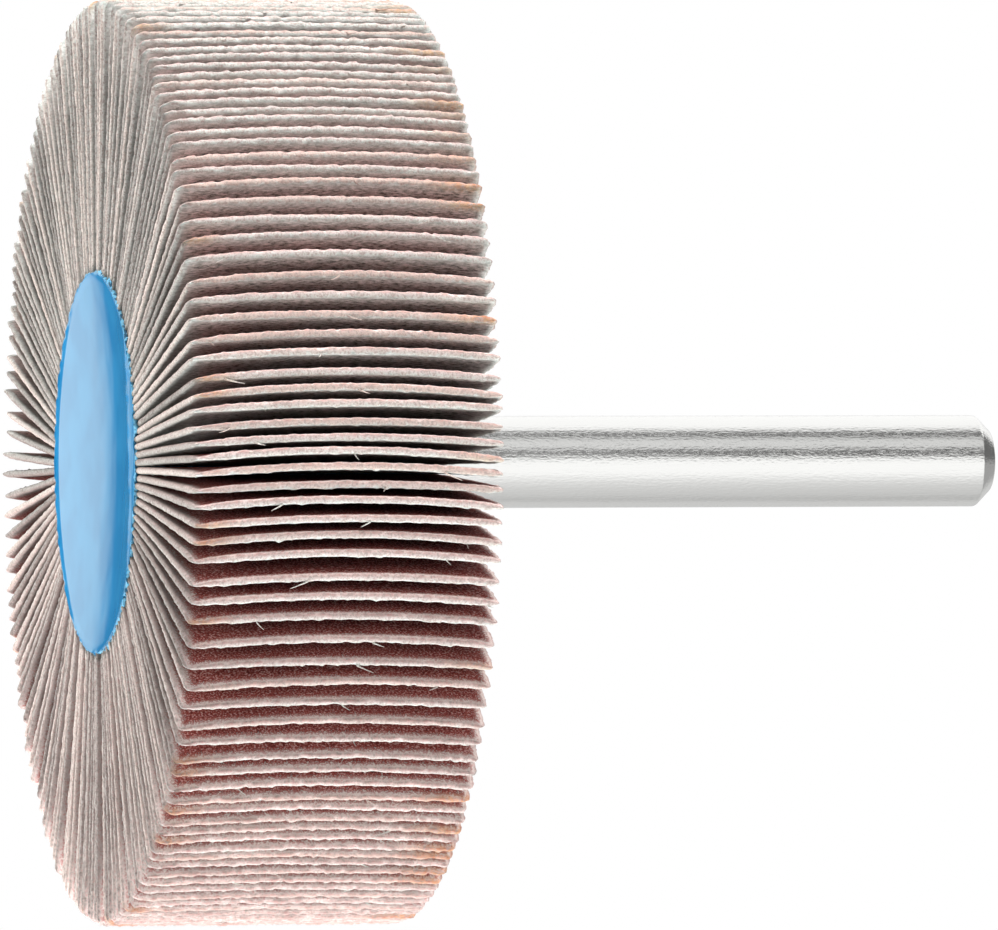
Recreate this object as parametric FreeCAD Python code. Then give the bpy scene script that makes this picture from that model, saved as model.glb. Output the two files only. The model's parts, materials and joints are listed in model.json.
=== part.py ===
"""Flap wheel: abrasive cloth flaps set on edge round a cast resin core, on a round steel shank.

The wheel stands on its front face with the shank pointing up. The origin is at the centre of the front
face, +Z runs along the shank, and all lengths are in millimetres. The grit of each flap faces clockwise
when the wheel is seen from the shank's end.
"""
import FreeCAD, Part
import math
import os

# Wheel, measured over the outer edges of the flaps
wheel_diameter = 60.0
flap_width = 20.0
back_corner_cut = 0.35

# Flaps, which fill the circle at their inner ends and fan apart towards the rim
group_count = 52
flaps_per_group = 3
flap_thickness = 0.46
root_gap = 0.035
root_seat = 0.02

# Uneven tips: waves round the wheel, each with the share of the tip gap that it may close
crowding_waves = 7
crowding_share = 0.32
crowding_start = math.radians(-90.0)
slow_waves = 3
slow_share = 0.075
slow_start = math.radians(-123.0)
short_waves = 53
short_share = 0.13
middle_waves = 38
middle_share = 0.1
beat_waves = 67
beat_share = 0.07

# Resin core
front_recess = 0.15
dish_depth = 0.8
dish_flats = 5
back_recess = 0.4
edge_lip = 0.05
edge_meniscus = 0.6
shank_meniscus = 0.1

# Shank
shank_diameter = 6.0
shank_length = 40.0
shank_end_chamfer = 1.0

# Cast-in end of the shank: a thinner neck with an upset head that anchors it in the resin
anchor_length = 14.0
anchor_neck_depth = 0.2
anchor_head_length = 5.0
anchor_head_rise = 0.15
anchor_head_slope = 0.35

# Worked out from the sizes above
flap_count = group_count * flaps_per_group
flap_pitch = 2.0 * math.pi / flap_count
wheel_radius = wheel_diameter / 2.0
core_radius = (flap_thickness + root_gap) / flap_pitch
flap_root = core_radius + root_seat
flap_tip = math.sqrt(wheel_radius ** 2 - (flap_thickness / 2.0) ** 2)
flap_length = flap_tip - flap_root
tip_gap = wheel_radius * flap_pitch - flap_thickness - root_gap
shank_radius = shank_diameter / 2.0
shank_top = flap_width + shank_length
core_back = flap_width - back_recess
axis = FreeCAD.Vector(0, 0, 1)


def section_point(radius, height):
    """Return a point of a turned profile, in the XZ plane."""
    return FreeCAD.Vector(radius, 0, height)


def turned(points):
    """Return the solid that a closed run of profile points makes when it is turned round the Z axis."""
    face = Part.Face(Part.makePolygon(points + points[:1]))
    return face.revolve(FreeCAD.Vector(0, 0, 0), axis, 360.0)


def flap_pattern():
    """Return a flat flap that lies along +X, with its outer back corner cut off a little."""
    corners = [
        (flap_root, 0),
        (flap_tip, 0),
        (flap_tip, flap_width - back_corner_cut),
        (flap_tip - back_corner_cut, flap_width),
        (flap_root, flap_width),
    ]
    points = [FreeCAD.Vector(along, -flap_thickness / 2.0, height) for along, height in corners]
    outline = Part.makePolygon(points + points[:1])
    return Part.Face(outline).extrude(FreeCAD.Vector(0, flap_thickness, 0))


def wave(index, waves, share, start=0.0):
    """Return one wave of the tips' shift, in mm, whose step between neighbours is at most its share."""
    largest_step = 2.0 * abs(math.sin(math.pi * waves / flap_count))
    return share * tip_gap * math.sin(waves * (flap_pitch * index - start)) / largest_step


def tip_shift(index):
    """Return how far a flap's tip lies from its even place, in mm round the rim.

    The shares add up to less than one, so that no flap reaches its neighbour.
    """
    return (
        - wave(index, crowding_waves, crowding_share, crowding_start)
        - wave(index, slow_waves, slow_share, slow_start)
        + wave(index, middle_waves, middle_share)
        + wave(index, short_waves, short_share)
        + wave(index, beat_waves, beat_share)
    )


def flap(index, pattern):
    """Return one flap: the pattern leaned at its root and turned to its place round the wheel."""
    piece = pattern.copy()
    lean = math.degrees(tip_shift(index) / flap_length)
    piece.rotate(FreeCAD.Vector(flap_root, 0, 0), axis, lean)
    piece.rotate(FreeCAD.Vector(0, 0, 0), axis, math.degrees(flap_pitch * index))
    return piece


def shank():
    """Return the shank: a round bar with a chamfered end, and a neck and head where it is cast in."""
    neck_radius = shank_radius - anchor_neck_depth
    head_radius = shank_radius + anchor_head_rise
    neck_top = core_back - anchor_neck_depth
    head_bottom = neck_top - anchor_length
    head_top = head_bottom + anchor_head_length
    return turned([
        section_point(0, shank_top),
        section_point(shank_radius - shank_end_chamfer, shank_top),
        section_point(shank_radius, shank_top - shank_end_chamfer),
        section_point(shank_radius, neck_top),
        section_point(neck_radius, neck_top),
        section_point(neck_radius, head_top + anchor_head_slope),
        section_point(head_radius, head_top),
        section_point(head_radius, head_bottom),
        section_point(0, head_bottom),
    ])


def dish_points():
    """Return the front of the core from its middle to its edge: a parabola, drawn in a few flats."""
    edge_radius = core_radius - edge_meniscus
    points = []
    for step in range(dish_flats + 1):
        share = step / dish_flats
        points.append(section_point(edge_radius * share, front_recess + dish_depth * (1.0 - share ** 2)))
    return points


def core_body():
    """Return the resin as poured, before the shank takes its room.

    Its front is a shallow dish and its back is flat. Both climb a little where they meet the flaps, and
    the back climbs the shank.
    """
    return turned(dish_points() + [
        section_point(core_radius, edge_lip),
        section_point(core_radius, flap_width - edge_lip),
        section_point(core_radius - edge_meniscus, core_back),
        section_point(shank_radius + shank_meniscus, core_back),
        section_point(shank_radius, core_back + shank_meniscus),
        section_point(0, core_back + shank_meniscus),
    ])


def export(name, shape):
    """Write one piece, or one group of pieces, under its own name."""
    shape.exportStep("parts/" + name + ".step")


def build():
    """Make every piece of the wheel and write it."""
    os.makedirs("parts", exist_ok=True)
    pattern = flap_pattern()
    for group in range(group_count):
        flaps = []
        for place in range(flaps_per_group):
            flaps.append(flap(group * flaps_per_group + place, pattern))
        export("flap_group_%02d" % (group + 1), Part.makeCompound(flaps))
    bar = shank()
    export("shank", bar)
    export("resin_core", core_body().cut(bar))


build()
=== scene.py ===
"""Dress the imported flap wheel: frayed cloth flaps, a glossy cast resin core and a bright steel shank.

The frame is the part's own. The wheel stands on its front face, the origin is at the centre of that face
and +Z runs along the shank. Shapes are worked out in millimetres and turned into metres when their mesh
is made. The camera, lamps and cards are placed in metres.
"""
import json
import logging
import math
from dataclasses import dataclass, field
from enum import Enum

import bpy
import numpy as np
from bpy.types import ID, Material, Node, NodeSocket, NodeTree, Object, World
from mathutils import Matrix, Vector


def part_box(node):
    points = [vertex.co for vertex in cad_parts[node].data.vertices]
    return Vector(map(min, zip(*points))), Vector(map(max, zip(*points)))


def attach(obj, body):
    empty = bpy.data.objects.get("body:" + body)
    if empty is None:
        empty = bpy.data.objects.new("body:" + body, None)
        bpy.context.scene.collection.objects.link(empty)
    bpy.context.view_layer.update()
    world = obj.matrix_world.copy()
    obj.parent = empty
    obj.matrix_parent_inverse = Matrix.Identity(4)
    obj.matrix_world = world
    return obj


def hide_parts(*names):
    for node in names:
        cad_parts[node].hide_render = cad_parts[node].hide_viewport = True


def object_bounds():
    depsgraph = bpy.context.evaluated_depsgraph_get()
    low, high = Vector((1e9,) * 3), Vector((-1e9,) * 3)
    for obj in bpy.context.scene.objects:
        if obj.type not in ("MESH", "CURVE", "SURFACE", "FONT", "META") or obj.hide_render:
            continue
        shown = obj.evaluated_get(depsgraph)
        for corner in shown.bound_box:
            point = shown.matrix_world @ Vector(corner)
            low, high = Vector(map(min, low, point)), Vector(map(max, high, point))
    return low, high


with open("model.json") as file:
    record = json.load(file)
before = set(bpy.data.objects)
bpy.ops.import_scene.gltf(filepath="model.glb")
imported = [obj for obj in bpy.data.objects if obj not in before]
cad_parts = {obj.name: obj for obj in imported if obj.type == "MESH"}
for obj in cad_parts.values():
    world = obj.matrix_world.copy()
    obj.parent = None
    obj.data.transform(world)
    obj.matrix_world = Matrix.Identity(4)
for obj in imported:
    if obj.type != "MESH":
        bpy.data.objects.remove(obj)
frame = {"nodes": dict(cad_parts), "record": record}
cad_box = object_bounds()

LOG = logging.getLogger("flap_wheel")
MM = 0.001
BODY = "root"


class Slot(Enum):
    """The record's material slots."""

    CLOTH = "abrasive_cloth"
    RESIN = "blue_resin"
    STEEL = "shank_steel"


class Seed(Enum):
    """Starts of the random draws, one for each use."""

    FLAP = 4100
    RIM = 77
    THREADS = 905


# Meshes

@dataclass(frozen=True)
class Surface:
    """A mesh of four-sided faces, in millimetres.

    Attributes:
        points: Places of the corners, shape (n, 3).
        quads: Corner numbers of the faces, shape (m, 4).
        marks: Values kept with the corners for the materials, each of shape (n, 3).
    """

    points: np.ndarray
    quads: np.ndarray
    marks: dict[str, np.ndarray] = field(default_factory=dict)

    def volume(self) -> float:
        """Return the volume inside the faces, which is negative where they point inwards."""
        a, b, c, d = (self.points[self.quads[:, corner]] for corner in range(4))
        return float(np.einsum("ij,ij->", a, np.cross(b, c) + np.cross(c, d)) / 6.0)

    def outward(self) -> "Surface":
        """Return this surface with its faces turned outwards.

        Returns:
            The surface itself, or a copy with each face's corners in the other order.
        """
        if self.volume() >= 0.0:
            return self
        return Surface(self.points, self.quads[:, ::-1], self.marks)


def join(surfaces: list[Surface]) -> Surface:
    """Return several surfaces with the same marks as one.

    Args:
        surfaces: The surfaces to put together, each closed by itself.

    Returns:
        One surface that holds them all.
    """
    starts = np.cumsum([0] + [len(surface.points) for surface in surfaces[:-1]])
    quads = [surface.quads + start for surface, start in zip(surfaces, starts)]
    marks = {
        name: np.concatenate([surface.marks[name] for surface in surfaces])
        for name in surfaces[0].marks
    }
    return Surface(np.concatenate([surface.points for surface in surfaces]), np.concatenate(quads), marks)


def tube(rings: np.ndarray, marks: dict[str, np.ndarray] | None = None) -> Surface:
    """Return the closed surface through a stack of rings.

    Each point joins the same point of the next ring. Each end is closed by strips between the opposite
    points of its ring.

    Args:
        rings: Places, shape (rows, points in a ring, 3), with an even number of points in a ring.
        marks: Values kept with the places, each with rings' shape.

    Returns:
        The surface, with its faces outwards.
    """
    rows, ring, _ = rings.shape
    row, column = np.meshgrid(np.arange(rows - 1), np.arange(ring), indexing="ij")
    low, high, beside = row * ring, (row + 1) * ring, (column + 1) % ring
    sides = np.stack([low + column, low + beside, high + beside, high + column], axis=-1).reshape(-1, 4)
    near = np.arange(ring // 2 - 1)
    cap = np.stack([near, near + 1, ring - 2 - near, ring - 1 - near], axis=-1)
    quads = np.concatenate([sides, cap[:, ::-1], cap + (rows - 1) * ring])
    kept = {name: values.reshape(-1, 3) for name, values in (marks or {}).items()}
    return Surface(rings.reshape(-1, 3), quads, kept).outward()


def turned(profile: np.ndarray, steps: int, marks: dict[str, np.ndarray] | None = None) -> Surface:
    """Return a profile turned round the Z axis.

    Args:
        profile: Radii and heights, shape (rows, 2) or, where they change round the axis,
            (rows, steps, 2).
        steps: Number of points in a ring.
        marks: Values kept with the places, each of shape (rows, steps, 3).

    Returns:
        The surface (r cos a, r sin a, h) for a full turn of the angle a.
    """
    if profile.ndim == 2:
        profile = np.repeat(profile[:, None, :], steps, axis=1)
    angle = np.arange(steps) * (2.0 * math.pi / steps)
    radius, height = profile[..., 0], profile[..., 1]
    return tube(np.stack([radius * np.cos(angle), radius * np.sin(angle), height], axis=-1), marks)


def drift(rng: np.random.Generator, places: np.ndarray, spacing: float) -> np.ndarray:
    """Return random values from -1 to 1 that change smoothly along a path.

    One value is drawn for each spacing, and a cosine eases from each to the next.

    Args:
        rng: The source of the draws.
        places: Places along the path, rising from 0.
        spacing: Distance between the draws.

    Returns:
        One value for each place.
    """
    draws = rng.uniform(-1.0, 1.0, int(places[-1] / spacing) + 3)
    step = (places / spacing).astype(int)
    ease = 0.5 - 0.5 * np.cos(math.pi * (places / spacing - step))
    return draws[step] * (1.0 - ease) + draws[step + 1] * ease


def put_in_scene(name: str, data: ID) -> Object:
    """Make an object and link it to the scene.

    Args:
        name: The object's name.
        data: Its mesh, lamp or camera.

    Returns:
        The new object.
    """
    thing = bpy.data.objects.new(name, data)
    bpy.context.scene.collection.objects.link(thing)
    return thing


def make_piece(
    name: str, surface: Surface, material: Material, node: str, crease: float
) -> None:
    """Make a piece of a surface, at the origin, and give it its place in the frame.

    Args:
        name: The piece's name.
        surface: Its shape, in millimetres.
        material: Its finish.
        node: The CAD node that it stands for.
        crease: Edges that turn by more than this angle, in degrees, stay sharp.
    """
    mesh = bpy.data.meshes.new(name)
    faces = len(surface.quads)
    mesh.vertices.add(len(surface.points))
    mesh.vertices.foreach_set("co", (surface.points * MM).astype(np.float32).ravel())
    mesh.loops.add(4 * faces)
    mesh.loops.foreach_set("vertex_index", surface.quads.astype(np.int32).ravel())
    mesh.polygons.add(faces)
    mesh.polygons.foreach_set("loop_start", np.arange(0, 4 * faces, 4, dtype=np.int32))
    mesh.update(calc_edges=True)
    for mark, values in surface.marks.items():
        layer = mesh.attributes.new(mark, "FLOAT_VECTOR", "POINT")
        layer.data.foreach_set("vector", values.astype(np.float32).ravel())
    mesh.shade_smooth()
    mesh.set_sharp_from_angle(angle=math.radians(crease))
    mesh.materials.append(material)
    piece = put_in_scene(name, mesh)
    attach(piece, BODY)
    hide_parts(node)
    LOG.info("%s: %d faces for %s", name, faces, node)


# Materials

Feed = float | tuple | Node | NodeSocket
Ramp = tuple[float, ...]
NOISE_MEAN = 0.5
SOFT_STEP = {"interpolation_type": "SMOOTHSTEP"}
COLOURS = {"data_type": "RGBA"}
WHITE = (1.0, 1.0, 1.0, 1.0)


def colour(code: str) -> tuple[float, float, float, float]:
    """Return an sRGB hex colour as linear red, green, blue and alpha."""
    shares = [int(code[place:place + 2], 16) / 255.0 for place in (1, 3, 5)]
    return (*(s / 12.92 if s <= 0.04045 else ((s + 0.055) / 1.055) ** 2.4 for s in shares), 1.0)


def add(tree: NodeTree, kind: str, inputs: dict[str, Feed] | tuple[Feed, ...] = (), **settings) -> Node:
    """Add a shader node with its settings and links.

    Args:
        tree: The tree that gets the node.
        kind: The node's type, without ShaderNode.
        inputs: What feeds its inputs, by name or in the order of those in use. It is a value, a socket, or
            a node whose first output in use is taken.
        **settings: The node's own settings.

    Returns:
        The new node.
    """
    node = tree.nodes.new("ShaderNode" + kind)
    for name, value in settings.items():
        setattr(node, name, value)
    if isinstance(inputs, dict):
        pairs = [(node.inputs[name], feed) for name, feed in inputs.items()]
    else:
        pairs = list(zip([socket for socket in node.inputs if socket.enabled], inputs))
    for socket, feed in pairs:
        if isinstance(feed, Node):
            feed = next(output for output in feed.outputs if output.enabled)
        if isinstance(feed, NodeSocket):
            tree.links.new(feed, socket)
        else:
            socket.default_value = feed
    return node


def blank_tree(block: Material | World) -> NodeTree:
    """Turn on the nodes of a material or world and take all of them out.

    Args:
        block: The material or world.

    Returns:
        Its empty node tree.
    """
    block.use_nodes = True
    block.node_tree.nodes.clear()
    return block.node_tree


def blank_material(name: str) -> tuple[Material, NodeTree]:
    """Return a new material with no nodes, and its tree."""
    material = bpy.data.materials.new(name)
    return material, blank_tree(material)


@dataclass(frozen=True)
class Layer:
    """A colour over others, whose cover follows a reading such as a noise or a depth in mm.

    Attributes:
        code: The colour, as sRGB hex.
        start: The reading where it starts to cover what is under it.
        end: The reading where it covers most.
        most: Its greatest cover.
        step: How its cover grows between them.
    """

    code: str
    start: float
    end: float
    most: float = 1.0
    step: str = "SMOOTHSTEP"


def coat(tree: NodeTree, base: str, *layers: tuple[Feed, Layer]) -> Node:
    """Add a colour and the layers over it.

    Args:
        tree: The material's tree.
        base: The colour under the layers, as sRGB hex.
        *layers: The layers from below, each after the reading that it follows.

    Returns:
        The top layer's node.
    """
    under = colour(base)
    for reading, layer in layers:
        cover = add(tree, "MapRange", (reading, layer.start, layer.end, 0.0, layer.most),
                    interpolation_type=layer.step)
        under = add(tree, "Mix", (cover, under, colour(layer.code)), **COLOURS)
    return under


def complete(
    tree: NodeTree, relief: Feed, strength: float, depth_mm: float, shader: dict[str, Feed]
) -> None:
    """End a material with its relief, as bump of this strength and depth, and its shader's inputs."""
    bump = add(tree, "Bump", {"Height": relief, "Strength": strength, "Distance": depth_mm * MM})
    add(tree, "OutputMaterial", (add(tree, "BsdfPrincipled", {**shader, "Normal": bump}),))


@dataclass(frozen=True)
class AbrasiveCloth:
    """Aluminium oxide grit in red-brown resin on a grey cotton cloth, cut to strips with a blade.

    The grit side is dull maroon with pink and dark grains, and paler beside the cut. The back is
    greenish grey with the threads along the flap's width, and paler beside the cut. The cut edge shows
    the pale ends of the yarns, pink towards the grit. The real grain is about 0.15 mm and shows at that
    size. The weave's threads are 0.25 mm apart, which is one and a half cells of the noise that draws them.

    Attributes:
        length: The flap's length from the core to the rim, in mm.
        width: The flap's width along the shank, in mm.
        thickness: The cloth's thickness, in mm.
        grain_detail: The grain noise's detail and roughness, as in the other noises.
    """

    length: float
    width: float
    thickness: float
    dark_grain: str = "#702f2d"
    bond: Layer = Layer("#ae534d", 0.36, 0.5)
    pale_grain: Layer = Layer("#dca9a4", 0.54, 0.62)
    # The grit side and the back turn paler towards the cut.
    grit_near_cut: Layer = Layer("#f6e3de", 0.6, 0.15)
    grain_mm: float = 0.15
    grain_detail: tuple[float, float] = (2.0, 0.6)
    near_cut_speckle: float = 1.4
    back_dark: str = "#6f7f78"
    back: Layer = Layer("#bfcac5", 0.36, 0.5)
    back_pale: Layer = Layer("#e8eeeb", 0.51, 0.62)
    back_near_cut: Layer = Layer("#dde2dd", 1.1, 0.0, 0.6)
    thread_mm: float = 0.17
    thread_length_mm: float = 0.45
    weave_detail: tuple[float, float] = (3.0, 0.65)
    yarn_pink: str = "#d1afaa"
    yarn: Layer = Layer("#d4c8c3", -0.8, 0.1)
    yarn_green: Layer = Layer("#cfd0c9", 0.1, 0.9)
    warm_yarn: Layer = Layer("#d3a795", 0.4, 1.0, 0.5, "LINEAR")
    front_yarn: Layer = Layer("#c9c8c2", 0.5, 0.0, 0.6)
    yarn_shade: Layer = Layer("#b09f98", 0.53, 0.38, 0.75)
    speck: str = "#b98783"
    speck_grain: Ramp = (0.52, 0.6)
    speck_side: Ramp = (0.3, -1.0, 0.0, 0.7)
    yarn_wobble: float = 1.8
    middle: Ramp = (-0.1, 0.1)
    cut_depth: Ramp = (0.02, 0.2)
    cut_wobble: float = 0.4
    # painted shade: a dark brown laid on the flap faces near the front face, away from the outer edge, for
    # the shade deep in the gaps between the flaps
    painted_gap_shade: str = "#4a3f39"
    gap_shade_height: Ramp = (1.6, 0.3)
    gap_shade_tip: Ramp = (1.0, 6.0, 0.0, 0.6)
    stain: str = "#efc095"
    stain_far: Ramp = (5.0, 0.5)
    stain_near: Ramp = (3.5, 0.3)
    stain_blotches: Ramp = (0.3, 0.6)
    stain_rim: Ramp = (1.0, 0.0)
    soaked: str = "#6f716a"
    soaked_root: Ramp = (0.7, 0.0, 0.0, 0.7)
    soaked_wobble: float = 1.5
    fuzz_mm: float = 0.3
    fuzz_detail: tuple[float, float] = (3.0, 0.7)
    patch_mm: float = 2.5
    patch_detail: float = 2.0
    patchiness: float = 0.25
    front_fray: float = 1.1
    front_shades: Ramp = (-0.42, 0.2)
    relief: float = 0.5
    relief_mm: float = 0.08
    roughness: float = 0.92
    shine: float = 0.25

    def yarn_ends(
        self, tree: NodeTree, across: Feed, height: Feed, grain: Feed, uneven: Feed, own_hue: Feed
    ) -> Node:
        """Add the colour of the cut edge.

        Args:
            tree: The material's tree.
            across: The place through the thickness, from -1 on the grit to 1 on the back.
            height: Distance from the front face, in mm.
            grain: Grain-sized noise.
            uneven: Fibre-sized noise about 0.
            own_hue: The flap's own number from 0 to 1.

        Returns:
            The colour's node.
        """
        ragged = add(tree, "Math", (uneven, self.yarn_wobble, across), operation="MULTIPLY_ADD")
        yarn = coat(tree, self.yarn_pink, (ragged, self.yarn), (ragged, self.yarn_green),
                    (own_hue, self.warm_yarn), (height, self.front_yarn), (grain, self.yarn_shade))
        speckled = add(tree, "MapRange", (grain, *self.speck_grain), **SOFT_STEP)
        near_grit = add(tree, "MapRange", (ragged, *self.speck_side), **SOFT_STEP)
        specks = add(tree, "Math", (speckled, near_grit), operation="MULTIPLY")
        return add(tree, "Mix", (specks, yarn, colour(self.speck)), **COLOURS)

    def stained(
        self, tree: NodeTree, own_stain: Feed, height: Feed, beyond: Feed, fuzz: Feed, tip: Feed
    ) -> Node:
        """Add the cover of the stains on the flaps' outer ends.

        Args:
            tree: The material's tree.
            own_stain: The flap's stain, above 0 for its back end and below 0 for its front end.
            height: Distance from the front face, in mm.
            beyond: Distance from the back face, in mm.
            fuzz: Fibre-sized noise.
            tip: Distance from the outer edge, in mm.

        Returns:
            The cover's node.
        """
        ends = []
        for reading, ramp, sign in ((beyond, self.stain_far, 1.0), (height, self.stain_near, -1.0)):
            strength = add(tree, "Math", (own_stain, sign), operation="MULTIPLY", use_clamp=True)
            end = add(tree, "MapRange", (reading, *ramp), **SOFT_STEP)
            ends.append(add(tree, "Math", (end, strength), operation="MULTIPLY"))
        cover = add(tree, "Math", tuple(ends), operation="MAXIMUM")
        for reading, ramp in ((fuzz, self.stain_blotches), (tip, self.stain_rim)):
            part = add(tree, "MapRange", (reading, *ramp), **SOFT_STEP)
            cover = add(tree, "Math", (cover, part), operation="MULTIPLY")
        return cover

    def material(self) -> Material:
        """Return the cloth's material, which reads the flap's own marks.

        The mark cloth holds the place along the flap, along its width and through its thickness, in mm.
        The mark fate holds the flap's tint, its stain and its seed. Depth is the distance from the cut.

        Returns:
            The material.
        """
        material, tree = blank_material("coated_abrasive_cloth")
        cloth = add(tree, "Attribute", attribute_name="cloth").outputs["Vector"]
        fate = add(tree, "Attribute", attribute_name="fate").outputs["Vector"]
        along, height, through = add(tree, "SeparateXYZ", (cloth,)).outputs
        tint, own_stain, seed = add(tree, "SeparateXYZ", (fate,)).outputs
        shifted = add(tree, "VectorMath", (cloth, fate), operation="ADD")
        grain = add(tree, "TexNoise", (shifted, 1.0 / self.grain_mm, *self.grain_detail))
        fuzz = add(tree, "TexNoise", (shifted, 1.0 / self.fuzz_mm, *self.fuzz_detail))
        patches = add(tree, "TexNoise", (shifted, 1.0 / self.patch_mm, self.patch_detail))
        stretch = (1.0 / self.thread_mm, 1.0 / self.thread_length_mm, 1.0)
        threads = add(tree, "VectorMath", (shifted, stretch), operation="MULTIPLY")
        weave = add(tree, "TexNoise", (threads, 1.0, *self.weave_detail))
        uneven, speckled, drifting = (
            add(tree, "Math", (noise, NOISE_MEAN), operation="SUBTRACT")
            for noise in (fuzz, grain, patches))

        across = add(tree, "Math", (through, self.thickness / 2.0), operation="DIVIDE")
        beyond = add(tree, "Math", (self.width, height), operation="SUBTRACT")
        tip = add(tree, "Math", (self.length, along), operation="SUBTRACT")
        nearest = add(tree, "Math", (height, beyond), operation="MINIMUM")
        nearest = add(tree, "Math", (tip, nearest), operation="MINIMUM")
        depth = add(tree, "Math", (uneven, self.cut_wobble, nearest), operation="MULTIPLY_ADD")
        # Depth from the cut with a speckled edge: the grit and the back are paler where it is small.
        worn = add(tree, "Math", (speckled, self.near_cut_speckle, depth), operation="MULTIPLY_ADD")
        own_hue = add(tree, "Math", (seed,), operation="FRACT")

        grit = coat(tree, self.dark_grain, (grain, self.bond), (grain, self.pale_grain),
                    (worn, self.grit_near_cut))
        back = coat(tree, self.back_dark, (weave, self.back), (weave, self.back_pale),
                    (depth, self.back_near_cut))
        side = add(tree, "MapRange", (across, *self.middle), **SOFT_STEP)
        faces = add(tree, "Mix", (side, grit, back), **COLOURS)
        # Painted shade: the flap faces near the front face and away from the outer edge are darkened, for
        # the shade deep in the gaps between the flaps.
        beside_front = add(tree, "MapRange", (height, *self.gap_shade_height), **SOFT_STEP)
        inner = add(tree, "MapRange", (tip, *self.gap_shade_tip))
        gap_shaded = add(tree, "Math", (beside_front, inner), operation="MULTIPLY")
        faces = add(tree, "Mix", (gap_shaded, faces, colour(self.painted_gap_shade)), **COLOURS)
        yarn = self.yarn_ends(tree, across, height, grain, uneven, own_hue)
        inside = add(tree, "MapRange", (depth, *self.cut_depth), **SOFT_STEP)
        surface = add(tree, "Mix", (inside, yarn, faces), **COLOURS)
        stain = self.stained(tree, own_stain, height, beyond, fuzz, tip)
        surface = add(tree, "Mix", (stain, surface, colour(self.stain)), blend_type="MULTIPLY", **COLOURS)
        wet = add(tree, "Math", (uneven, self.soaked_wobble, along), operation="MULTIPLY_ADD")
        soaked = add(tree, "MapRange", (wet, *self.soaked_root), **SOFT_STEP)
        surface = add(tree, "Mix", (soaked, surface, colour(self.soaked)), **COLOURS)

        shade = add(tree, "Math", (drifting, self.patchiness, tint), operation="MULTIPLY_ADD")
        at_front = add(tree, "MapRange", (height, self.front_yarn.start, 0.0), **SOFT_STEP)
        own_shade = add(tree, "MapRange", (own_hue, 0.0, 1.0, *self.front_shades))
        frayed = add(tree, "Math", (uneven, self.front_fray, own_shade), operation="MULTIPLY_ADD")
        change = add(tree, "Math", (frayed, at_front, 1.0), operation="MULTIPLY_ADD")
        for factor in (shade, change):
            surface = add(tree, "VectorMath", (surface, factor), operation="SCALE")
        relief = add(tree, "Math", (grain, weave), operation="ADD")
        complete(tree, relief, self.relief, self.relief_mm, {
            "Base Color": surface, "Roughness": self.roughness, "Specular IOR Level": self.shine})
        return material


@dataclass(frozen=True)
class CastResin:
    """Cast epoxy resin with a strong blue pigment, poured and left to level.

    It is smooth and glossy. Beyond its rim, where it creeps over the ends of the flaps, it is thin, pale
    and broken; its pale flecks there are thin resin over the cloth and in part a painted highlight. The
    mark creep is 1 there and 0 elsewhere.
    """

    body: str = "#3194cd"
    cloud: Layer = Layer("#2889c3", 0.35, 0.65)
    clouds_per_mm: float = 0.25
    gap: str = "#1d5878"
    # pale flecks where the resin creeps: thin resin over the cloth, and in part a painted highlight
    creep: Layer = Layer("#7fcdf2", 0.44, 0.54)
    flecks_per_mm: float = 2.4
    detail: float = 2.0
    ripples_per_mm: float = 0.35
    ripple_detail: float = 1.0
    ripple_mm: float = 0.2
    ripple: float = 0.12
    roughness: float = 0.05
    creep_roughness: float = 0.5
    ior: float = 1.55

    def material(self) -> Material:
        """Return the resin's material.

        Returns:
            The material.
        """
        material, tree = blank_material("cast_blue_epoxy")
        place = add(tree, "TexCoord").outputs["Object"]
        in_mm = add(tree, "VectorMath", (place, 1.0 / MM), operation="SCALE")
        clouds = add(tree, "TexNoise", (in_mm, self.clouds_per_mm, self.detail))
        flecks = add(tree, "TexNoise", (in_mm, self.flecks_per_mm, self.detail))
        body = coat(tree, self.body, (clouds, self.cloud))
        # Where the resin creeps, pale flecks on a dark ground: thin resin over the cloth, and in part a
        # painted highlight.
        thin = coat(tree, self.gap, (flecks, self.creep))
        mark = add(tree, "Attribute", attribute_name="creep").outputs["Vector"]
        crept = add(tree, "SeparateXYZ", (mark,))
        surface = add(tree, "Mix", (crept, body, thin), **COLOURS)
        gloss = add(tree, "MapRange", (crept, 0.0, 1.0, self.roughness, self.creep_roughness))
        waves = add(tree, "TexNoise", (in_mm, self.ripples_per_mm, self.ripple_detail))
        complete(tree, waves, self.ripple, self.ripple_mm, {
            "Base Color": surface, "Roughness": gloss, "IOR": self.ior})
        return material


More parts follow.
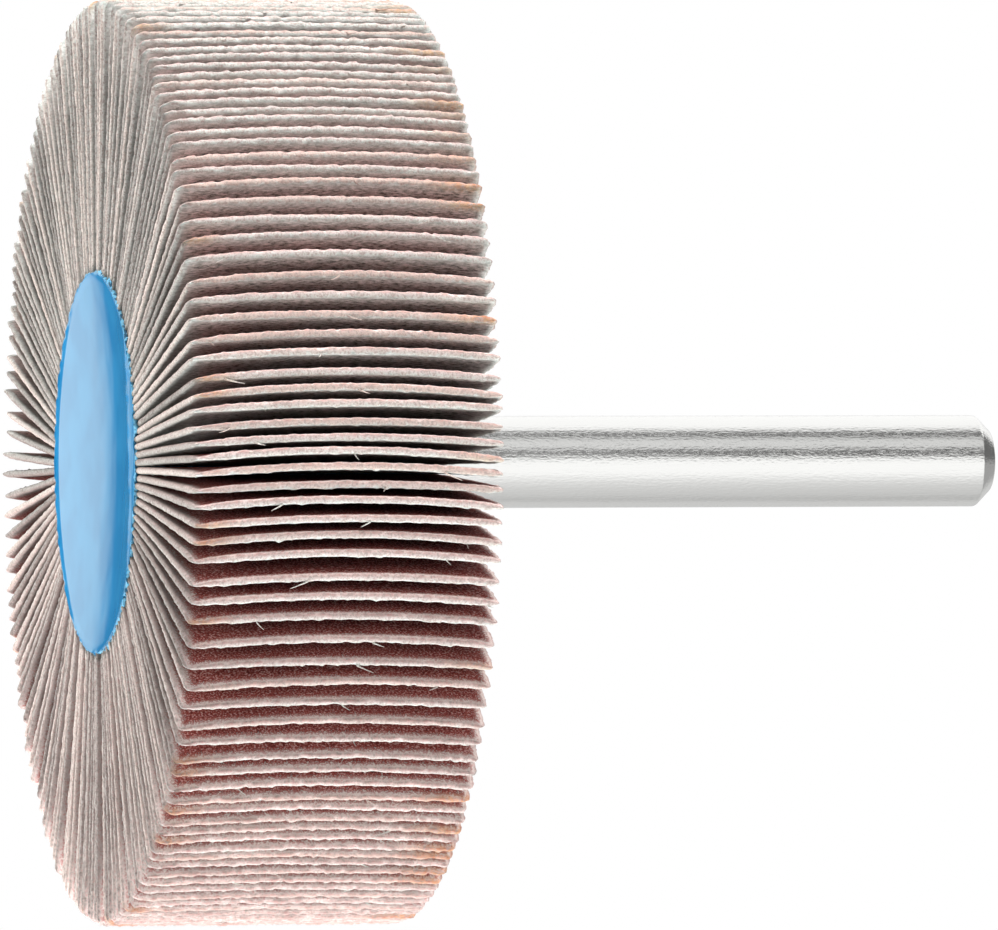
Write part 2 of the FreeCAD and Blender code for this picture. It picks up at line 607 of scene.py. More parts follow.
@dataclass(frozen=True)
class DrawnSteel:
    """Bright drawn steel bar, ground a little along its length.

    It mirrors its surroundings in soft bands along the bar, and the fine pits that drawing leaves break
    their edges up. The real pits are about 0.05 mm wide, and they are drawn three times as wide to show.
    """

    tone: str = "#ebebe9"
    roughness: float = 0.17
    roughness_change: float = 0.15
    pit_mm: float = 0.15
    pit_length_mm: float = 0.34
    pit_detail: tuple[float, float] = (2.0, 0.6)
    scratch_mm: float = 0.12
    scratch_length_mm: float = 2.5
    scratch_detail: float = 2.0
    scratch_share: float = 0.4
    relief: float = 0.5
    relief_mm: float = 0.04

    def material(self) -> Material:
        """Return the steel's material.

        Returns:
            The material.
        """
        material, tree = blank_material("bright_drawn_steel")
        place = add(tree, "TexCoord").outputs["Object"]
        pit = (1.0 / (self.pit_mm * MM),) * 2 + (1.0 / (self.pit_length_mm * MM),)
        pitted = add(tree, "VectorMath", (place, pit), operation="MULTIPLY")
        pits = add(tree, "TexNoise", (pitted, 1.0, *self.pit_detail))
        stretch = (1.0 / (self.scratch_mm * MM),) * 2 + (1.0 / (self.scratch_length_mm * MM),)
        drawn = add(tree, "VectorMath", (place, stretch), operation="MULTIPLY")
        scratches = add(tree, "TexNoise", (drawn, 1.0, self.scratch_detail))
        uneven = add(tree, "Math", (scratches, NOISE_MEAN), operation="SUBTRACT")
        gloss = add(tree, "Math", (uneven, self.roughness_change, self.roughness), operation="MULTIPLY_ADD")
        marks = add(tree, "Math", (scratches, self.scratch_share, pits), operation="MULTIPLY_ADD")
        complete(tree, marks, self.relief, self.relief_mm, {
            "Base Color": colour(self.tone), "Metallic": 1.0, "Roughness": gloss})
        return material


# The wheel

@dataclass(frozen=True)
class FlapPlan:
    """Where the flaps stand, as in the part's source, in mm.

    Attributes:
        radius: The wheel's radius over the flaps' outer edges.
        width: The flaps' width along the shank.
        groups: Number of flap nodes.
        waves: The waves of the tips' shift: how many go round the wheel, the share of the tips' gap that
            each may close, and the angle where it starts.
    """

    radius: float
    width: float
    groups: int
    flaps_per_group: int = 3
    thickness: float = 0.46
    root_gap: float = 0.035
    root_seat: float = 0.02
    back_corner: float = 0.4
    waves: tuple[tuple[int, float, float], ...] = (
        (7, -0.32, math.radians(-90.0)), (3, -0.075, math.radians(-123.0)),
        (38, 0.1, 0.0), (53, 0.13, 0.0), (67, 0.07, 0.0),
    )

    @property
    def count(self) -> int:
        """Number of flaps."""
        return self.groups * self.flaps_per_group

    @property
    def pitch(self) -> float:
        """Angle from one flap to the next."""
        return 2.0 * math.pi / self.count

    @property
    def core_radius(self) -> float:
        """Radius of the resin core, where the flaps stand side by side."""
        return (self.thickness + self.root_gap) / self.pitch

    @property
    def root(self) -> float:
        """Radius at which the flaps start."""
        return self.core_radius + self.root_seat

    @property
    def length(self) -> float:
        """Length of a flap from its root to its outer edge."""
        return math.sqrt(self.radius ** 2 - (self.thickness / 2.0) ** 2) - self.root

    @property
    def tip_gap(self) -> float:
        """Free room beside each flap at the rim."""
        return self.radius * self.pitch - self.thickness - self.root_gap

    def wave(self, index: int, waves: int, share: float, start: float) -> float:
        """Return one wave of the tips' shift, whose step between neighbours is at most its share."""
        largest_step = 2.0 * abs(math.sin(math.pi * waves / self.count))
        return share * self.tip_gap * math.sin(waves * (self.pitch * index - start)) / largest_step

    def tip_shift(self, index: int) -> float:
        """Return how far a flap's tip lies from its even place, round the rim."""
        return sum(self.wave(index, *wave) for wave in self.waves)


@dataclass(frozen=True)
class Flap:
    """One flap of abrasive cloth: a bowed sheet with a frayed cut edge round three of its sides.

    Attributes:
        plan: Where the flaps stand.
        index: The flap's number round the wheel.
        thread_start: How deep a thread starts inside the outer edge and inside the back.
        stains: The strengths of stain that a flap draws from, below 0 for its front end.
        front_facing: How straight up the way into the cloth points along the front edge, at least.
        back_rim: The share of half the thickness where the edge's rim on the back starts.
        edge_profile: Depths of the frayed edge's profile, in mm, and shares of half the thickness.
    """

    plan: FlapPlan
    index: int
    front_corner: float = 0.6
    edge_step: float = 0.21
    sheet_inset: float = 0.3
    sheet_rows: int = 12
    sheet_columns: int = 18
    bow: float = 0.52
    bow_growth: float = 1.6
    bow_spread: tuple[float, float] = (0.8, 1.2)
    twist: float = 0.07
    lean_back: float = 0.05
    uneven_length: float = 0.1
    length_spread: tuple[float, float] = (-1.0, 0.3)
    corner_wear: float = 0.55
    front_wear_reach: float = 1.3
    back_wear_reach: float = 0.6
    thread_share: float = 1.0
    thread_radius: float = 0.08
    thread_length: float = 0.75
    thread_rows: int = 6
    thread_sides: int = 4
    thread_start: tuple[float, float] = (0.05, 0.06)
    thread_spread: tuple[float, float] = (0.5, 1.3)
    thread_places: tuple[float, float] = (0.03, 0.97)
    thread_curl: float = 0.5
    thread_taper: float = 0.8
    thread_rise: float = 0.5
    thread_lift: float = 0.35
    lift_spread: tuple[float, float] = (0.2, 1.0)
    slow_fray: float = 0.03
    slow_spacing: float = 1.3
    yarn_fray: float = 0.022
    yarn_spacing: float = 0.32
    fibre_fray: float = 0.035
    side_fray: float = 0.055
    front_calm: float = 0.45
    front_setback: float = 0.24
    tufts: int = 11
    tuft_reach: float = 0.18
    tuft_width: float = 0.3
    tuft_spread: tuple[float, float] = (0.3, 1.0)
    tints: tuple[float, float] = (0.92, 1.05)
    stains: tuple[float, ...] = (0.0, 0.0, 0.0, 0.9, 0.5, 0.0, -0.8)
    seed_span: float = 50.0
    front_facing: float = 0.9
    back_rim: float = 0.9
    edge_profile: tuple[tuple[float, float], ...] = (
        (0.52, -0.88), (0.24, -1.03), (0.09, -0.85), (0.0, -0.38),
        (0.0, 0.38), (0.09, 0.85), (0.24, 1.03), (0.52, 0.88),
    )

    def outline(self) -> tuple[np.ndarray, np.ndarray]:
        """Return the path of the cut edge and the direction into the cloth along it.

        The path runs along the front edge from the root, round the front corner, along the outer edge,
        round the back corner and along the back edge to the root. Straight parts have even steps, and a
        corner's points are its centre plus its radius times the cosine and sine of an even run of angles.

        Returns:
            Places (along, height) and inward directions, both of shape (n, 2).
        """
        length, width = self.plan.length, self.plan.width
        front, back = self.front_corner, self.plan.back_corner

        def straight(start: tuple, end: tuple, inward: tuple) -> tuple[np.ndarray, np.ndarray]:
            """Return an even run of places and their direction inwards.

            Args:
                start: The first place.
                end: The place after the last.
                inward: The direction into the cloth.

            Returns:
                The places and, for each, the direction.
            """
            steps = max(2, round(math.dist(start, end) / self.edge_step))
            places = np.linspace(start, end, steps, endpoint=False)
            return places, np.tile(np.array(inward, float), (steps, 1))

        def corner(centre: tuple, radius: float, turn_start: float) -> tuple[np.ndarray, np.ndarray]:
            """Return the places round a quarter turn and their direction inwards.

            Args:
                centre: The corner's centre.
                radius: Its radius.
                turn_start: The angle of the first place.

            Returns:
                The places and, for each, the direction.
            """
            steps = max(3, round(radius * math.pi / 2.0 / self.edge_step))
            angle = turn_start + np.linspace(0.0, math.pi / 2.0, steps, endpoint=False)
            outward = np.stack([np.cos(angle), np.sin(angle)], axis=1)
            return np.array(centre) + radius * outward, -outward

        runs = [
            straight((0.0, 0.0), (length - front, 0.0), (0, 1)),
            corner((length - front, front), front, -math.pi / 2.0),
            straight((length, front), (length, width - back), (-1, 0)),
            corner((length - back, width - back), back, 0.0),
            straight((length - back, width), (0.0, width), (0, -1)),
            (np.array([[0.0, width]]), np.array([[0.0, -1.0]])),
        ]
        return np.concatenate([run[0] for run in runs]), np.concatenate([run[1] for run in runs])

    def bent(self, along: np.ndarray, height: np.ndarray, across: np.ndarray,
             rng: np.random.Generator) -> np.ndarray:
        """Return the places of a flat flap's points on the wheel.

        Across shrinks near the two outer corners, by a bell curve of the distance to each, because the cloth
        is worn thin there. It grows with the bow, which is the parabola of the height and rises from the
        root as a power of the place along the flap, and with a twist that is the product of both. The front
        edge leans back in a straight line and is set back a little at random. The flap then turns by its
        lean about its root and by its angle about the axis.

        Args:
            along: Distances from the root.
            height: Distances from the front face.
            across: Distances from the cloth's middle, positive towards its back.
            rng: The flap's own draws.

        Returns:
            Places in the frame, with one more axis than along.
        """
        plan = self.plan
        share = np.clip(along / plan.length, 0.0, None)
        front = np.hypot(along - plan.length, height) / self.front_wear_reach
        back = np.hypot(along - plan.length, height - plan.width) / self.back_wear_reach
        across = across * (1.0 - self.corner_wear * (np.exp(-front ** 2) + np.exp(-back ** 2)))
        side = 2.0 * height / plan.width - 1.0
        bow = self.bow * rng.uniform(*self.bow_spread)
        twist = self.twist * rng.uniform(-1.0, 1.0)
        stretch = 1.0 + self.uneven_length * rng.uniform(*self.length_spread) / plan.length
        across = across + share ** self.bow_growth * bow * (side ** 2 - 0.5) + twist * share * side
        set_back = self.lean_back * share + self.front_setback * rng.uniform(0.0, 1.0) ** 2
        height = height + set_back * (1.0 - height / plan.width)
        lean = plan.tip_shift(self.index) / plan.length
        radial = plan.root + along * stretch * math.cos(lean) - across * math.sin(lean)
        aside = along * stretch * math.sin(lean) + across * math.cos(lean)
        angle = plan.pitch * self.index
        return np.stack([
            radial * math.cos(angle) - aside * math.sin(angle),
            radial * math.sin(angle) + aside * math.cos(angle),
            height,
        ], axis=-1)

    def rng(self) -> np.random.Generator:
        """Return a fresh source of this flap's draws."""
        return np.random.default_rng(Seed.FLAP.value + self.index)

    def fate(self, shape: tuple[int, ...]) -> np.ndarray:
        """Draw the flap's tint, stain and seed.

        Args:
            shape: The shape of the flap's grid of points.

        Returns:
            The three numbers, repeated for each point.
        """
        rng = np.random.default_rng(Seed.FLAP.value * 2 + self.index)
        marks = [rng.uniform(*self.tints), rng.choice(self.stains), rng.uniform(0.0, self.seed_span)]
        return np.broadcast_to(np.array(marks), (*shape, 3))

    def surface(self, along: np.ndarray, height: np.ndarray, across: np.ndarray) -> Surface:
        """Return the closed surface through rings of flat points, bent to its place."""
        marks = {"cloth": np.stack([along, height, across], axis=-1), "fate": self.fate(along.shape)}
        return tube(self.bent(along, height, across, self.rng()), marks)

    def sheet(self) -> Surface:
        """Return the cloth inside its cut edge: a thin slab with one corner round.

        Each ring goes up the cloth's back and down its grit side. Points outside the round corner are
        drawn in to its arc.

        Returns:
            The slab's surface.
        """
        plan, inset = self.plan, self.sheet_inset
        up = np.linspace(inset, plan.width - inset, self.sheet_columns + 1)
        ring = np.concatenate([up, up[::-1]])
        side = np.repeat([plan.thickness / 2.0, -plan.thickness / 2.0], len(up))
        rows = np.linspace(0.0, plan.length - inset, self.sheet_rows + 1)
        along, height = np.meshgrid(rows, ring, indexing="ij")
        centre = np.array([plan.length - plan.back_corner, plan.width - plan.back_corner])
        out = np.stack([along - centre[0], height - centre[1]], axis=-1)
        reach = np.linalg.norm(out, axis=-1)
        outside = (out > 0.0).all(axis=-1) & (reach > plan.back_corner - inset)
        drawn = centre + out * ((plan.back_corner - inset) / np.maximum(reach, 1e-6))[..., None]
        along = np.where(outside, drawn[..., 0], along)
        height = np.where(outside, drawn[..., 1], height)
        return self.surface(along, height, np.broadcast_to(side, along.shape))

    def cut_edge(self) -> Surface:
        """Return the frayed bead of yarn ends along the cut.

        A closed profile is carried along the outline. It is moved out and in by slow, yarn-wide and
        fibre-fine random drifts, its two rims fray by themselves, and a few tufts stand out on the back.

        Returns:
            The bead's surface.
        """
        rng = np.random.default_rng(Seed.FLAP.value * 3 + self.index)
        path, inward = self.outline()
        run = np.concatenate([[0.0], np.cumsum(np.linalg.norm(np.diff(path, axis=0), axis=1))])
        half = self.plan.thickness / 2.0
        profile = np.array(self.edge_profile)
        rim = 1.0 - profile[:, 0] / profile[0, 0]
        grit_side, back_side = profile[:, 1] < 0.0, profile[:, 1] > 0.0
        fray = (self.slow_fray * drift(rng, run, self.slow_spacing)
                + self.yarn_fray * drift(rng, run, self.yarn_spacing)
                + self.fibre_fray * rng.uniform(-1.0, 1.0, len(run)))
        calm = np.where(inward[:, 1] > self.front_facing, self.front_calm, 1.0)
        sides = np.stack([drift(rng, run, self.yarn_spacing) for _ in range(2)], axis=1)
        sides = self.side_fray * calm[:, None] * sides
        depth = profile[:, 0] - rim * (
            (fray * calm)[:, None] + sides[:, :1] * grit_side + sides[:, 1:] * back_side)
        wander = np.stack([drift(rng, run, self.yarn_spacing) for _ in range(2)], axis=1)
        wander = self.side_fray * wander + self.fibre_fray * rng.uniform(-1.0, 1.0, wander.shape)
        wander = wander * calm[:, None]
        across = half * profile[:, 1] + rim * (wander[:, :1] * grit_side + wander[:, 1:] * back_side)
        centres = rng.uniform(0.0, run[-1], self.tufts)
        heights = self.tuft_reach * rng.uniform(*self.tuft_spread, self.tufts)
        near = np.clip(1.0 - np.abs(run[:, None] - centres) / self.tuft_width, 0.0, 1.0)
        tuft = (heights * near).sum(axis=1)
        across = across + tuft[:, None] * np.where(profile[:, 1] > self.back_rim, rim, 0.0)
        along = path[:, :1] + inward[:, :1] * depth
        height = path[:, 1:] + inward[:, 1:] * depth
        return self.surface(along, height, across)

    def loose_threads(self) -> list[Surface]:
        """Return the loose thread that hangs from the back of the outer edge, if the flap has one.

        The thread starts inside the cloth and curves away as a parabola of the way along it, while its
        radius narrows towards its end.

        Returns:
            A list with one thin closed tube, or an empty one.
        """
        rng = np.random.default_rng(Seed.THREADS.value + self.index)
        if rng.uniform() > self.thread_share:
            return []
        way = np.linspace(0.0, 1.0, self.thread_rows)[:, None]
        turn = np.linspace(0.0, 2.0 * math.pi, self.thread_sides, endpoint=False)
        length = self.thread_length * rng.uniform(*self.thread_spread)
        sideways = length * rng.uniform(-1.0, 1.0) * (way + self.thread_curl * way ** 2)
        lift = self.thread_lift * length * rng.uniform(*self.lift_spread)
        out = lift * way ** 2 - self.thread_start[0]
        radius = self.thread_radius * (1.0 - self.thread_taper * way)
        back = self.plan.thickness / 2.0 - self.thread_start[1]
        along = self.plan.length + out + radius * np.cos(turn)
        start = self.plan.width * rng.uniform(*self.thread_places)
        height = start + np.tile(sideways, self.thread_sides)
        across = back + self.thread_rise * length * way + radius * np.sin(turn)
        return [self.surface(along, height, across)]


@dataclass(frozen=True)
class ClothFlaps:
    """The flaps, made as one piece for each CAD node."""

    plan: FlapPlan
    finish: AbrasiveCloth
    crease: float = 75.0

    def make(self) -> None:
        """Make and dress every group of flaps."""
        material = self.finish.material()
        for group in range(self.plan.groups):
            first = group * self.plan.flaps_per_group
            parts = []
            for index in range(first, first + self.plan.flaps_per_group):
                flap = Flap(self.plan, index)
                parts += [flap.sheet(), flap.cut_edge(), *flap.loose_threads()]
            number = "%02d" % (group + 1)
            make_piece("frayed_flaps_" + number, join(parts), material,
                       "flap_group_" + number, self.crease)


@dataclass(frozen=True)
class ResinCore:
    """The cast core: a shallow dish in front, flat behind, creeping over the flaps with an uneven edge.

    Attributes:
        radius: Radius of the core.
        width: The flaps' width along the shank.
        bar_radius: The shank's radius.
        finish: The resin's finish.
    """

    radius: float
    width: float
    bar_radius: float
    finish: CastResin
    front_recess: float = 0.15
    dish_depth: float = 0.8
    back_recess: float = 0.4
    meniscus: float = 0.6
    bar_meniscus: float = 0.1
    crest: float = 0.03
    crest_fray: float = 0.05
    crest_shares: tuple[float, float, float] = (0.4, 1.0, 0.6)
    creep: float = 0.1
    creep_fray: float = 0.3
    creep_shares: tuple[float, float] = (0.5, 1.0)
    fray_spacing: float = 0.45
    sink: float = 0.12
    deep_sink: float = 0.48
    collar: float = 1.0
    middle: float = 0.02
    buried_middle: float = 0.5
    dish_rows: int = 22
    meniscus_rows: int = 8
    steps: int = 864
    crease: float = 50.0

    def make(self) -> None:
        """Make and dress the core.

        The dish is a parabola of the radius. From its edge a steeper parabola climbs to a crest at the
        flaps, and the resin creeps a little way over their ends. The crest's height and the creep drift at
        random round the rim. The back climbs the flaps in a parabola too.
        """
        edge = self.radius - self.meniscus
        slope = 2.0 * self.dish_depth / edge
        dish = np.linspace(self.middle, edge, self.dish_rows)
        out = np.linspace(0.0, 1.0, self.meniscus_rows + 1)[1:]
        climb = self.front_recess + self.crest - slope * self.meniscus
        floor = self.width - self.back_recess
        rise = (self.back_recess - self.crest) * (1.0 - out) ** 2
        rows = np.concatenate([
            np.stack([dish, self.front_recess + self.dish_depth * (1.0 - (dish / edge) ** 2)], axis=1),
            np.stack([edge + self.meniscus * out,
                      self.front_recess - slope * self.meniscus * out - climb * out ** 2], axis=1),
            [(self.radius, 0.0), (self.radius, self.sink), (self.radius, self.deep_sink)],
            [(self.radius, self.width - self.deep_sink), (self.radius, self.width - self.crest)],
            np.stack([self.radius - self.meniscus * out, floor + rise], axis=1),
            [(self.bar_radius + self.bar_meniscus, floor), (self.bar_radius, floor + self.bar_meniscus),
             (self.bar_radius, floor - self.collar), (self.buried_middle, floor - self.collar)],
        ])
        profile = np.repeat(rows[:, None, :], self.steps, axis=1)
        rng = np.random.default_rng(Seed.RIM.value)
        run = np.arange(self.steps) * (2.0 * math.pi * self.radius / self.steps)
        crest = self.dish_rows + self.meniscus_rows - 1
        reach = self.creep + self.creep_fray * np.clip(drift(rng, run, self.fray_spacing), 0.0, None)
        height = self.crest_fray * drift(rng, run, self.fray_spacing)
        profile[crest - 1:crest + 2, :, 1] -= np.array(self.crest_shares)[:, None] * height
        profile[crest + 1:crest + 3, :, 0] += np.array(self.creep_shares)[:, None] * reach
        creep = np.zeros((*profile.shape[:2], 3))
        creep[crest + 1:crest + 4] = 1.0
        make_piece("cast_core", turned(profile, self.steps, {"creep": creep}), self.finish.material(),
                   "resin_core", self.crease)


@dataclass(frozen=True)
class SteelShank:
    """The shank: a drawn bar with a turned chamfer whose edges are a little worn.

    Attributes:
        radius: The bar's radius.
        bottom: Height of its cast-in end.
        top: Height of its free end.
        finish: The steel's finish.
    """

    radius: float
    bottom: float
    top: float
    finish: DrawnSteel
    chamfer: float = 1.0
    edge_radius: float = 0.35
    edge_gap: float = 0.5
    buried_chamfer: float = 0.3
    middle: float = 0.02
    steps: int = 160
    edge_steps: int = 5
    bar_rows: int = 24
    flat_shares: tuple[float, ...] = (0.8, 0.5, 0.01)
    crease: float = 35.0

    def make(self) -> None:
        """Make and dress the shank.

        The profile goes from the axis over the buried end, along the bar, over the chamfer and across the
        free end. Each edge of the chamfer is an eighth of a circle: its centre plus the edge radius times
        the cosine and sine of an even run of angles.
        """
        turn = np.linspace(0.0, math.pi / 4.0, self.edge_steps)
        back_off = self.edge_radius * math.tan(math.pi / 8.0)
        low, rim = self.top - self.chamfer - back_off, self.radius - self.chamfer - back_off
        bar = np.linspace(self.bottom + self.buried_chamfer, low - self.edge_gap, self.bar_rows)
        flat = np.array(self.flat_shares)
        rows = np.concatenate([
            [(self.middle, self.bottom), (self.radius - self.buried_chamfer, self.bottom)],
            np.stack([np.full_like(bar, self.radius), bar], axis=1),
            np.stack([self.radius - self.edge_radius * (1.0 - np.cos(turn)),
                      low + self.edge_radius * np.sin(turn)], axis=1),
            np.stack([rim + self.edge_radius * np.sin(math.pi / 4.0 - turn),
                      self.top - self.edge_radius * (1.0 - np.cos(math.pi / 4.0 - turn))], axis=1),
            np.stack([rim * flat, np.full_like(flat, self.top)], axis=1),
        ])
        make_piece("bright_shank", turned(rows, self.steps), self.finish.material(),
                   "shank", self.crease)


# The stage

@dataclass(frozen=True)
class Portrait:
    """The photograph's camera, which looks up at the standing wheel from below its front face.

    Attributes:
        target: The point in the middle of the picture, in metres.
        distance: Distance from it to the lens, in metres.
        below: Angle of the view below the horizon, in degrees.
        roll: How far the shank rises to the right, in degrees.
        lens: Focal length, in mm.
        sensor: Width of the sensor, in mm.
    """

    target: tuple[float, float, float] = (0.0002, 0.0, 0.026956)
    distance: float = 0.9
    below: float = 13.724
    roll: float = -0.15
    lens: float = 498.3
    sensor: float = 36.0
    clip: tuple[float, float] = (0.01, 20.0)

    def make(self) -> None:
        """Make the camera. The picture's right is +Z and its top is -X."""
        low, roll = math.radians(self.below), math.radians(self.roll)
        back = Vector((0.0, -math.cos(low), -math.sin(low)))
        right = Vector((0.0, -math.sin(low), math.cos(low)))
        up = Vector((-1.0, 0.0, 0.0))
        turned_right = right * math.cos(roll) + up * math.sin(roll)
        turned_up = up * math.cos(roll) - right * math.sin(roll)
        data = bpy.data.cameras.new("portrait_camera")
        data.lens, data.sensor_width = self.lens, self.sensor
        data.clip_start, data.clip_end = self.clip
        camera = put_in_scene("portrait_camera", data)
        turn = Matrix((turned_right, turned_up, back)).transposed()
        camera.matrix_world = Matrix.Translation(Vector(self.target) + back * self.distance) @ turn.to_4x4()
        bpy.context.scene.camera = camera


@dataclass(frozen=True)
class SoftLamp:
    """A square soft lamp that faces the wheel.

    Attributes:
        name: The lamp's name.
        place: Where it stands, in metres.
        level: What a white card facing it at the wheel would show, where 1 is white.
        size: Length of its sides, in metres.
    """

    name: str
    place: tuple[float, float, float]
    level: float
    size: float = 0.4
    aim: tuple[float, float, float] = (0.0, 0.0, 0.015)

    def make(self) -> None:
        """Make the lamp. A square lamp of P watts lights a card at distance D to P / (pi D) squared."""
        way = Vector(self.aim) - Vector(self.place)
        data = bpy.data.lights.new(self.name, "AREA")
        data.size = self.size
        data.energy = self.level * (math.pi * way.length) ** 2
        lamp = put_in_scene(self.name, data)
        lamp.location = self.place
        lamp.rotation_euler = way.to_track_quat("-Z", "Y").to_euler()
        lamp.visible_glossy = False


def hang_card(name: str, points: np.ndarray, tones: np.ndarray, tint: str = "#ffffff") -> None:
    """Hang a glowing stage card that only gloss shows, as a dark or light card in a studio.

    Args:
        name: The card's name.
        points: Its corners on a grid, in metres, shape (rows, columns, 3).
        tones: Its brightness at them, where 1 is white, shape (rows, columns).
        tint: Its colour, as sRGB hex.
    """
    rows, columns = tones.shape
    row, column = np.meshgrid(np.arange(rows - 1), np.arange(columns - 1), indexing="ij")
    start = (row * columns + column).ravel()
    faces = np.stack([start, start + 1, start + columns + 1, start + columns], axis=1)
    mesh = bpy.data.meshes.new(name)
    mesh.from_pydata(points.reshape(-1, 3).tolist(), [], faces.tolist())
    mesh.attributes.new("tone", "FLOAT", "POINT").data.foreach_set("value", tones.astype(np.float32).ravel())
    material, tree = blank_material(name)
    tone = add(tree, "Attribute", attribute_name="tone").outputs["Fac"]
    glow = add(tree, "Emission", (colour(tint), tone))
    add(tree, "OutputMaterial", (glow,))
    mesh.materials.append(material)
    card = put_in_scene(name, mesh)
    card.visible_camera = card.visible_diffuse = card.visible_transmission = card.visible_shadow = False


@dataclass(frozen=True)
class GlossDrum:
    """A drum of cards round the shank's axis, which the bar mirrors as bands along its length.

    Attributes:
        name: The drum's name.
        heights: Heights of its rows, in metres.
        stops: For each angle from the camera's side towards the picture's top, in degrees, the tone of
            the lower rows and of the upper rows.
        upper_share: For each row, the share of the upper tone.
        radius: Its radius, in metres.
        step: Angle between its columns, in degrees.
        span: Angles where it starts and ends, in degrees.
        tint: Its colour.
    """

    name: str
    heights: tuple[float, ...]
    stops: tuple[tuple[float, float, float], ...]
    upper_share: tuple[float, ...]
    radius: float = 0.35
    step: float = 2.0
    span: tuple[float, float] = (-180.0, 180.0)
    tint: str = "#ffffff"

    def make(self) -> None:
        """Hang the drum, whose tones change evenly from stop to stop and from row to row."""
        degrees = np.arange(self.span[0], self.span[1] + self.step, self.step)
        angles, lower, upper = np.array(self.stops).T
        share = np.array(self.upper_share)[:, None]
        tones = (1.0 - share) * np.interp(degrees, angles, lower) + share * np.interp(degrees, angles, upper)
        turn = np.broadcast_to(np.radians(degrees), tones.shape)
        height = np.broadcast_to(np.array(self.heights)[:, None], tones.shape)
        points = np.stack([-self.radius * np.sin(turn), -self.radius * np.cos(turn), height], axis=-1)
        hang_card(self.name, points, tones, self.tint)


@dataclass(frozen=True)
class FlatCard:
    """A level card above or below the wheel.

    Attributes:
        name: The card's name.
        height: Its height, in metres.
        start: Its edge on the side of the picture's top, along X.
        end: Its edge on the side of the picture's bottom, along X.
        tone: Its brightness, where 1 is white.
        reach: How far it reaches towards the camera and away from it.
    """

    name: str
    height: float
    start: float
    end: float
    tone: float
    reach: float = 0.45

    def make(self) -> None:
        """Hang the card from its four corners."""
        points = np.array([[(x, y, self.height) for x in (self.start, self.end)]
                           for y in (-self.reach, self.reach)])
        hang_card(self.name, points, np.full((2, 2), self.tone))


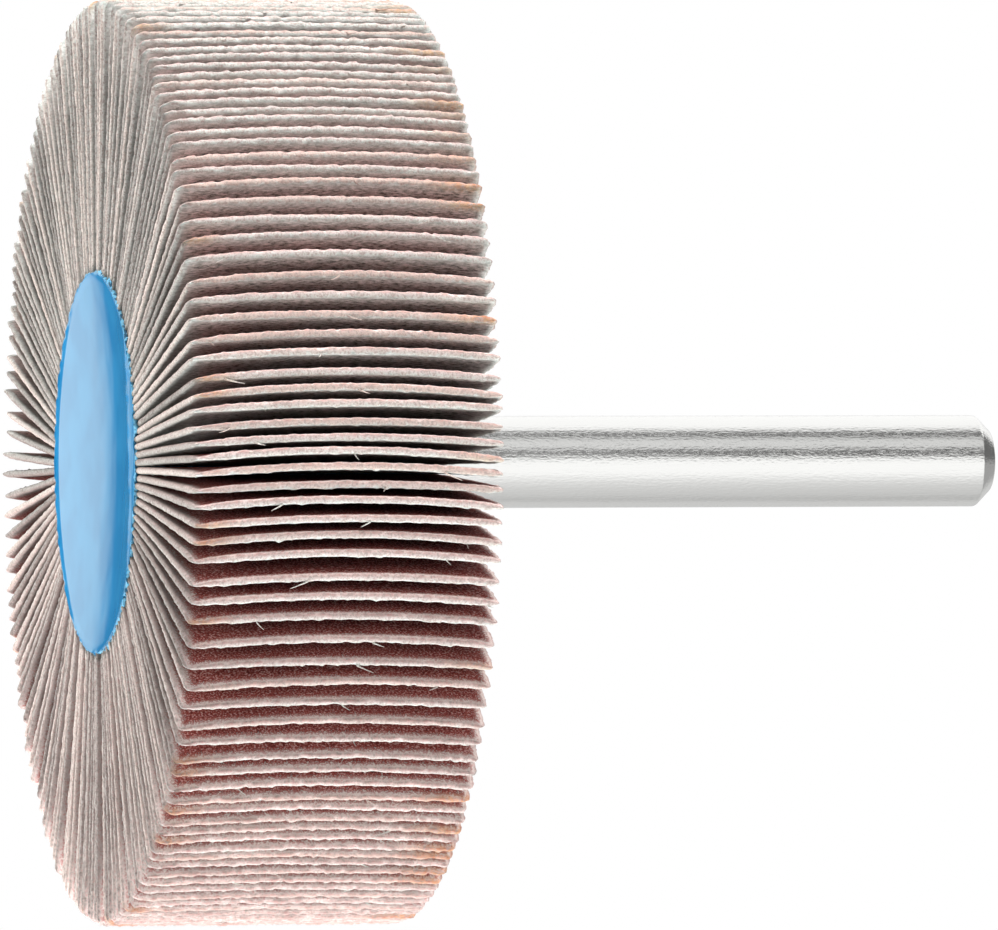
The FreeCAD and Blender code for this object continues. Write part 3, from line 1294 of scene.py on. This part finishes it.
@dataclass(frozen=True)
class Studio:
    """Plain studio light, a white surround and a pale floor that fades into it.

    The photograph's camera looks up from below the wheel's front face, where the floor is. So the floor
    shows its upper side only, and it takes the wheel's shadow there.
    """

    surround: float = 1.0
    ambient: float = 0.35
    floor_radius: float = 0.16
    floor_fade: float = 0.1
    floor_depth: float = 0.0002
    floor_glow: float = 0.45
    floor_tone: str = "#f4f4f2"
    lamps: tuple[SoftLamp, ...] = (
        SoftLamp("lamp_camera_side", (0.3, -0.42, 0.05), 0.2, 0.5),
        SoftLamp("lamp_picture_top", (-0.46, -0.13, 0.05), 1.8),
        SoftLamp("lamp_picture_bottom", (0.46, -0.13, 0.05), 1.65),
        SoftLamp("lamp_front_face", (0.05, 0.42, -0.42), 1.45, 0.2),
        SoftLamp("lamp_behind", (0.0, 0.35, 0.3), 0.25),
    )
    cards: tuple[GlossDrum | FlatCard, ...] = (
        GlossDrum("cards_round_bar", (0.03, 0.105, 0.145, 0.6), (
            (-180.0, 0.7, 0.7), (-150.0, 0.66, 0.66), (-125.0, 0.7, 0.7), (-116.0, 0.6, 0.56),
            (-108.0, 0.56, 0.5), (-100.0, 0.66, 0.64), (-75.0, 0.74, 0.7), (-58.0, 0.84, 0.78),
            (-40.0, 1.0, 0.98), (-30.0, 1.15, 1.15), (2.0, 1.15, 1.15), (8.0, 1.0, 0.9),
            (17.0, 0.25, 0.08), (27.0, 0.25, 0.08), (33.0, 0.85, 0.78), (52.0, 0.8, 0.76),
            (62.0, 0.7, 0.6), (68.0, 0.25, 0.08), (77.0, 0.25, 0.08), (83.0, 0.9, 0.8),
            (95.0, 1.15, 1.12), (150.0, 1.15, 1.15), (172.0, 0.9, 0.9), (180.0, 0.6, 0.6),
        ), (0.0, 0.0, 1.0, 1.0)),
        GlossDrum("cards_under_face", (-0.45, -0.24, -0.2, -0.132, -0.095, -0.074, -0.051, 0.02), (
            (150.0, 2.2, 0.02), (210.0, 2.2, 0.02)), (0.98, 0.98, 0.05, 0.4, 0.56, 0.75, 0.99, 1.0),
            span=(150.0, 210.0), tint="#fff3c8"),
        FlatCard("card_under", -0.4, -0.6, 0.6, 0.03),
        FlatCard("card_overhead", 0.5, -0.26, 0.0, 0.15),
        FlatCard("card_overhead_low", 0.5, 0.0, 0.4, 0.4),
    )

    def world(self) -> None:
        """Light the scene from all round, and show white to the camera and in gloss and glass."""
        world = bpy.data.worlds.new("studio")
        tree = blank_tree(world)
        path = add(tree, "LightPath").outputs
        seen = add(tree, "Math", (path["Is Camera Ray"], path["Is Glossy Ray"]), operation="MAXIMUM")
        seen = add(tree, "Math", (seen, path["Is Transmission Ray"]), operation="MAXIMUM")
        level = add(tree, "MapRange", (seen, 0.0, 1.0, self.ambient, self.surround))
        glow = add(tree, "Background", (WHITE, level))
        add(tree, "OutputWorld", (glow,))
        bpy.context.scene.world = world

    def floor(self) -> None:
        """Make the floor: seen from above, a part of it glows white and the rest takes light and shade."""
        size = self.floor_radius + self.floor_fade
        mesh = bpy.data.meshes.new("floor")
        corners = ((-size, -size), (size, -size), (size, size), (-size, size))
        mesh.from_pydata([(*corner, -self.floor_depth) for corner in corners], [], [(0, 1, 2, 3)])
        material, tree = blank_material("white_floor")
        place = add(tree, "TexCoord").outputs["Object"]
        radius = add(tree, "VectorMath", (place,), operation="LENGTH")
        fade = add(tree, "MapRange", (radius, self.floor_radius, size), **SOFT_STEP)
        under = add(tree, "NewGeometry").outputs["Backfacing"]
        clear = add(tree, "Math", (fade, under), operation="MAXIMUM")
        glow = add(tree, "Emission", (WHITE, 1.0))
        matt = add(tree, "BsdfDiffuse", (colour(self.floor_tone),))
        lit = add(tree, "MixShader", (self.floor_glow, matt, glow))
        gone = add(tree, "BsdfTransparent")
        whole = add(tree, "MixShader", (clear, lit, gone))
        add(tree, "OutputMaterial", (whole,))
        mesh.materials.append(material)
        floor = put_in_scene("floor", mesh)
        floor.visible_diffuse = floor.visible_glossy = False
        floor.visible_transmission = floor.visible_shadow = False

    def make(self) -> None:
        """Make the light, the cards and the floor."""
        self.world()
        self.floor()
        for thing in self.lamps + self.cards:
            thing.make()
        bpy.context.scene.view_settings.view_transform = "Standard"


def main() -> None:
    """Build the wheel's pieces, the stage and the camera in order."""
    logging.basicConfig(level=logging.INFO, format="%(name)s %(message)s")
    groups = sum(name.startswith("flap_group_") for name in frame["nodes"])
    low, high = cad_box
    bar_low, bar_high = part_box("shank")
    flaps_low, flaps_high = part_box("flap_group_01")
    plan = FlapPlan(radius=(high.x - low.x) / 2.0 / MM, width=flaps_high.z / MM, groups=groups)
    bar_radius = frame["record"]["mounts"][0]["dims"]["r_mm"]
    ClothFlaps(plan, AbrasiveCloth(plan.length, plan.width, plan.thickness)).make()
    ResinCore(plan.core_radius, plan.width, bar_radius, CastResin()).make()
    SteelShank(bar_radius, bar_low.z / MM, bar_high.z / MM, DrawnSteel()).make()
    Studio().make()
    Portrait().make()


if __name__ == "__main__":
    main()
